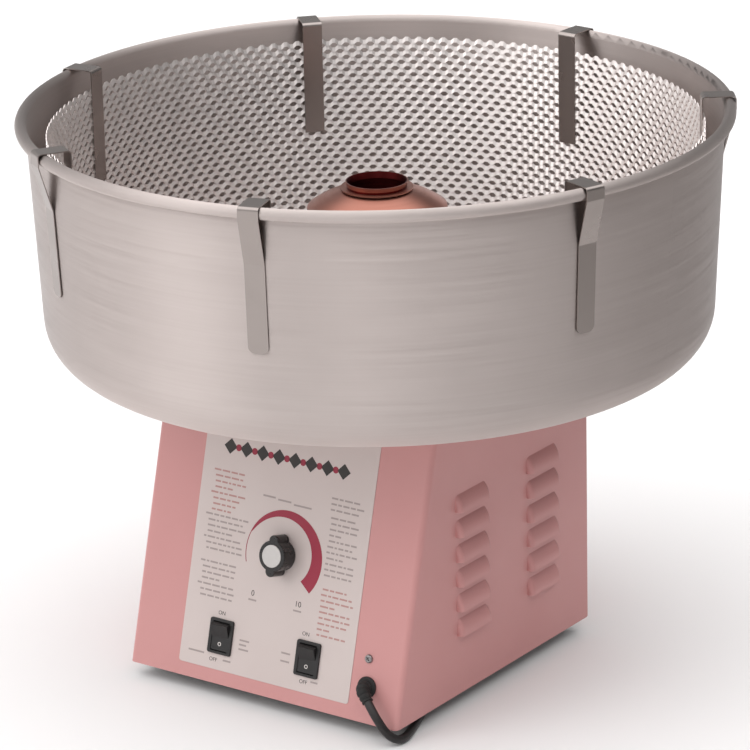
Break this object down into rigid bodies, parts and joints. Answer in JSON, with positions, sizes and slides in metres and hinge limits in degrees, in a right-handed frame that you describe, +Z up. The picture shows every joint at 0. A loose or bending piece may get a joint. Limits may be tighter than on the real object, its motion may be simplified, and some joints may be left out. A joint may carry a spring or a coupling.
{
  "type": "electric cotton candy machine",
  "caption": "Free-standing electric cotton candy machine: pink steel cabinet, wide spun aluminium bowl with mesh liner and clips, spinning copper head, heat knob and rocker switches.",
  "frame": {"origin": "on the spin axis, at the level of the surface that the machine stands on", "axes": "+Z up along the spin axis; the control panel faces -Y and the rear cover +Y; +X is the machine's side on the right of someone who faces the panel"},
  "size_m": [0.6604, 0.6616, 0.5292],
  "materials": {
    "pink_powder_coat": "satin powder coat",
    "zinc_plated_steel": "zinc plated",
    "machined_steel": "machined",
    "cast_aluminium": "as cast and turned",
    "spun_aluminium": "spun, fine rings",
    "expanded_aluminium": "expanded mesh, mill finish",
    "spring_steel": "bright spring steel",
    "copper": "spun copper, satin",
    "brass": "bright",
    "heater_alloy": "oxidised resistance ribbon",
    "carbon": "pressed carbon",
    "black_rubber": "matt",
    "black_pvc": "satin",
    "black_nylon": "moulded, satin",
    "phenolic": "moulded phenolic",
    "knob_plastic": "moulded",
    "knob_disc": "turned",
    "printed_label": "printed polyester film"
  },
  "bodies": {
    "base": {"cabinet_shell": "pink_powder_coat", "top_plate": "zinc_plated_steel", "base_plate": "zinc_plated_steel", "rear_cover": "pink_powder_coat", "rear_cover_screws": "zinc_plated_steel", "rubber_feet": "black_rubber", "foot_screws": "zinc_plated_steel", "control_label": "printed_label", "earth_screw": "zinc_plated_steel", "heat_control_body": "phenolic", "control_nut": "zinc_plated_steel", "power_switch_housing": "black_nylon", "heat_switch_housing": "black_nylon", "bowl_gasket": "black_rubber", "bowl_spigot": "zinc_plated_steel", "motor_can": "zinc_plated_steel", "end_bell_top": "cast_aluminium", "end_bell_bottom": "cast_aluminium", "upper_bearing": "machined_steel", "lower_bearing": "machined_steel", "stator_core": "machined_steel", "stator_windings": "copper", "motor_tie_bolts": "zinc_plated_steel", "mount_plate": "zinc_plated_steel", "mount_grommets": "black_rubber", "mount_posts": "zinc_plated_steel", "mount_screws": "zinc_plated_steel", "post_screws": "zinc_plated_steel", "brush_holder": "phenolic", "carbon_brushes": "carbon", "brush_springs": "spring_steel", "strain_relief": "black_pvc", "cord_lead": "black_pvc", "cord_coil": "black_pvc", "cord_tie": "black_nylon", "plug_body": "black_pvc", "plug_blades": "brass"},
    "spinner": {"motor_shaft": "machined_steel", "rotor_core": "machined_steel", "cooling_fan": "black_nylon", "slip_ring_hub": "phenolic", "slip_rings": "brass", "head_base": "cast_aluminium", "head_nut": "zinc_plated_steel", "heater_ribbon": "heater_alloy", "head_posts": "cast_aluminium", "head_cap": "copper", "sugar_collar": "copper"},
    "bowl": {"floss_bowl": "spun_aluminium", "mesh_liner": "expanded_aluminium", "rim_clips": "spring_steel"},
    "knob": {"heat_knob": "knob_plastic", "knob_cap": "knob_disc", "control_shaft": "phenolic"},
    "power_switch": {"power_rocker": "black_nylon"},
    "heat_switch": {"heat_rocker": "black_nylon"}
  },
  "joints": [
    {"name": "spinner_spin", "type": "hinge", "parent": "base", "child": "spinner", "pos_m": [0, 0, 0.4], "axis": [0, 0, 1], "continuous": true},
    {"name": "bowl_lift", "type": "slide", "parent": "base", "child": "bowl", "axis": [0, 0, 1], "range_m": [0, 0.22]},
    {"name": "knob_turn", "type": "hinge", "parent": "base", "child": "knob", "pos_m": [0.005, -0.16758, 0.14247], "axis": [0, -0.9659, 0.2588], "range_deg": [-135, 135]},
    {"name": "power_tip", "type": "hinge", "parent": "base", "child": "power_switch", "pos_m": [-0.052, -0.18952, 0.05672], "axis": [-1, 0, 0], "range_deg": [0, 24]},
    {"name": "heat_tip", "type": "hinge", "parent": "base", "child": "heat_switch", "pos_m": [0.047, -0.18952, 0.05672], "axis": [-1, 0, 0], "range_deg": [0, 24]}
  ]
}
